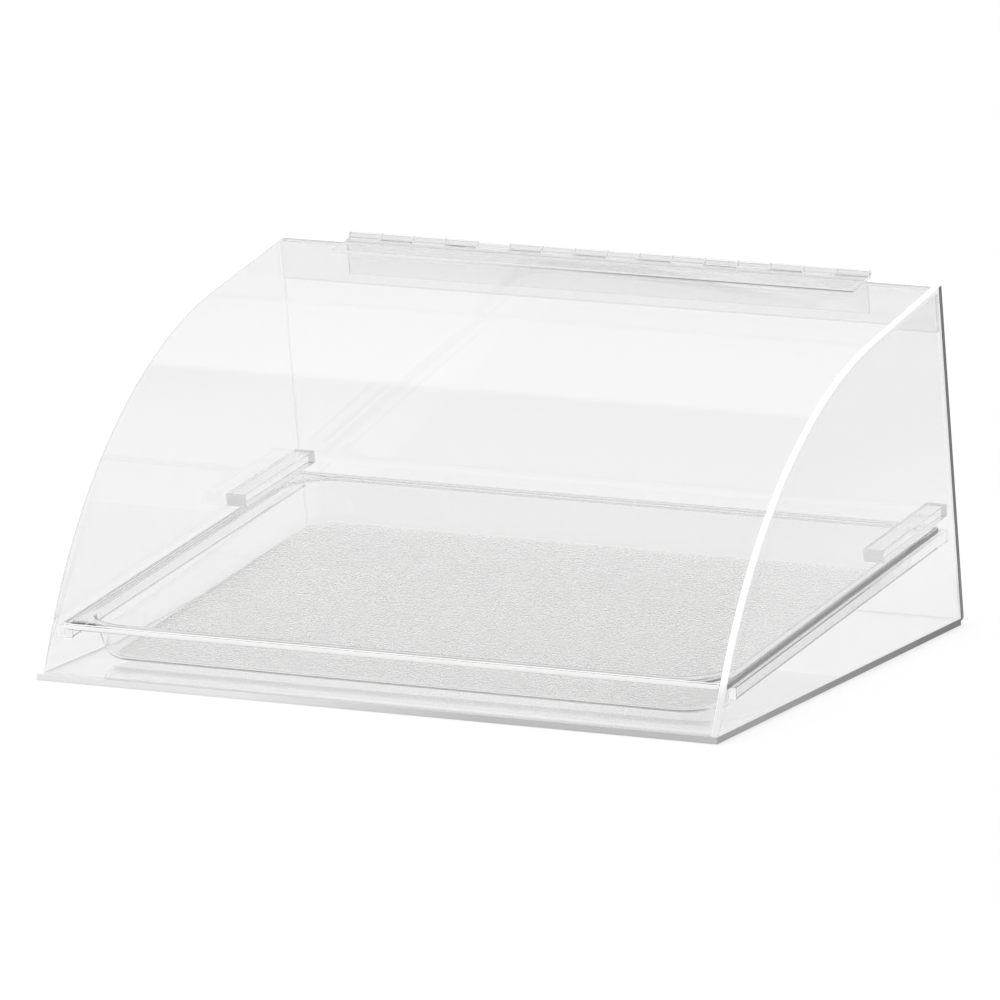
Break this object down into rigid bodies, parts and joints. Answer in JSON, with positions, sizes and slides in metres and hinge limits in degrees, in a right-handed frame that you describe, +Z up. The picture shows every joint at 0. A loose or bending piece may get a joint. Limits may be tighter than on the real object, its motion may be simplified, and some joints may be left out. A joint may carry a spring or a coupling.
{
  "type": "countertop bread display bin",
  "caption": "Clear slant-front countertop display bin for bread and pastry, with a curved front, a hinged rear door and a sloping tray that slides out of the back.",
  "frame": {"origin": "middle of the whole case's bounding box, on the underside of the base, where it meets the counter", "axes": "+X to the right seen from the customer's side, +Y from the customer's side to the server's side, +Z up"},
  "size_m": [0.525, 0.4356, 0.261],
  "materials": {
    "clear_sheet": "clear polished acrylic sheet with bright sawn and polished edges",
    "clear_hinge": "clear extruded acrylic, glossy",
    "hinge_pin": "clear drawn plastic rod, glossy",
    "clear_tray": "clear moulded plastic, glossy, with a lightly pebbled floor",
    "clear_bar": "clear acrylic bar, polished faces and frosted sawn ends"
  },
  "bodies": {
    "case": {"base_panel": "clear_sheet", "left_side_panel": "clear_sheet", "right_side_panel": "clear_sheet", "curved_front_panel": "clear_sheet", "roof_stiffener_bar": "clear_sheet", "hinge_case_leaf": "clear_hinge", "hinge_pin": "hinge_pin", "left_tray_rail": "clear_bar", "right_tray_rail": "clear_bar", "left_hold_down": "clear_bar", "right_hold_down": "clear_bar"},
    "door": {"rear_door_panel": "clear_sheet", "hinge_door_leaf": "clear_hinge"},
    "tray": {"display_tray": "clear_tray"}
  },
  "joints": [
    {"name": "door_hinge", "type": "hinge", "parent": "case", "child": "door", "pos_m": [0, 0.17729, 0.25817], "axis": [1, 0, 0], "range_deg": [0, 270]},
    {"name": "tray_slide", "type": "slide", "parent": "case", "child": "tray", "axis": [0, 0.9939, 0.1104], "range_m": [0, 0.3]}
  ],
  "couplings": [
    {"joint": "tray_slide", "follows": "door_hinge", "m_per_rad": 0.0636}
  ]
}
